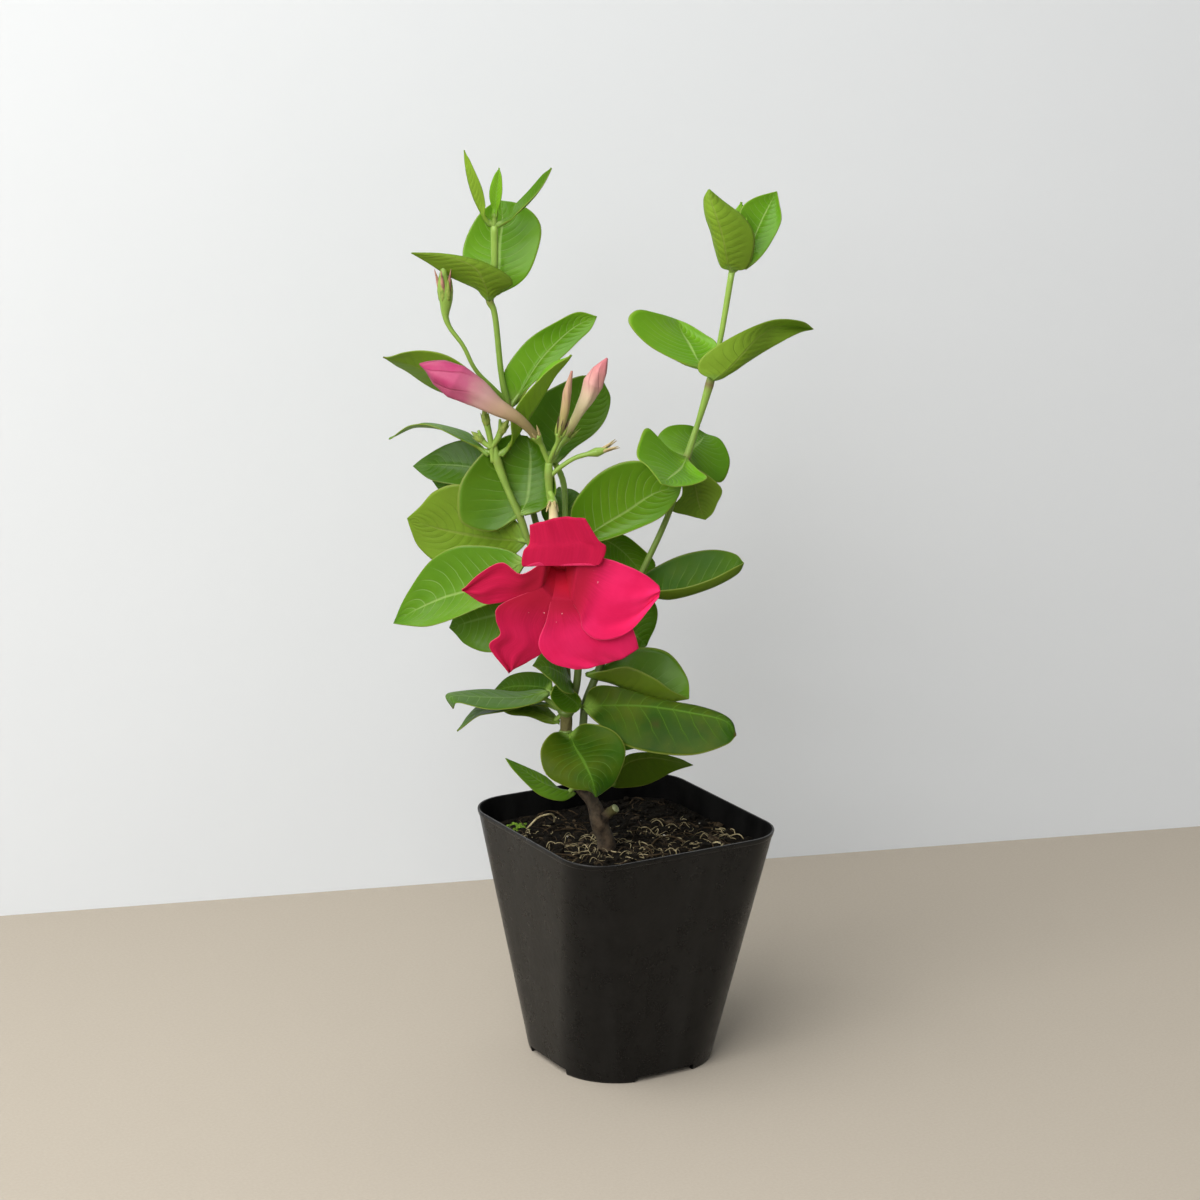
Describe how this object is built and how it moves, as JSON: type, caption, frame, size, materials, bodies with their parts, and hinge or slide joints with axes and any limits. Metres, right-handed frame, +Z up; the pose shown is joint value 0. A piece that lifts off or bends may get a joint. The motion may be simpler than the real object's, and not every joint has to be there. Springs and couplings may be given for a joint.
{
  "type": "potted mandevilla plant",
  "caption": "Young mandevilla vine with upright leafy shoots, one open funnel flower with buds, in a tapered square nursery pot filled with potting mix.",
  "frame": {"origin": "middle of the pot's square foot, on the surface that the pot stands on", "axes": "+Z up; the pot's sides run along X and Y; the flower looks out over the edge between the -X and -Y sides"},
  "size_m": [0.1879, 0.1477, 0.4381],
  "materials": {
    "pot_plastic": "satin black, faint mottling",
    "mix": "matt, fibrous peat mix",
    "bark": "rough brown bark",
    "leaf_dark": "glossy dark green above, matt olive below",
    "leaf_young": "satin fresh green",
    "petal": "velvety hot pink, crimson throat",
    "bud_pink": "satin pink fading to cream",
    "bud_cream": "satin cream and green"
  },
  "bodies": {
    "root": {"pot": "pot_plastic", "potting_mix": "mix", "trunk": "bark", "leaf_pair_first": "leaf_dark", "leaf_pair_second": "leaf_dark", "leaf_cluster_fork": "leaf_dark", "shoot_right": "leaf_young", "shoot_top_left": "leaf_young", "shoot_left": "leaf_young", "shoot_middle": "leaf_dark", "corolla": "petal", "bud_large": "bud_pink", "bud_upright": "bud_pink", "bud_small": "bud_cream"}
  },
  "joints": []
}
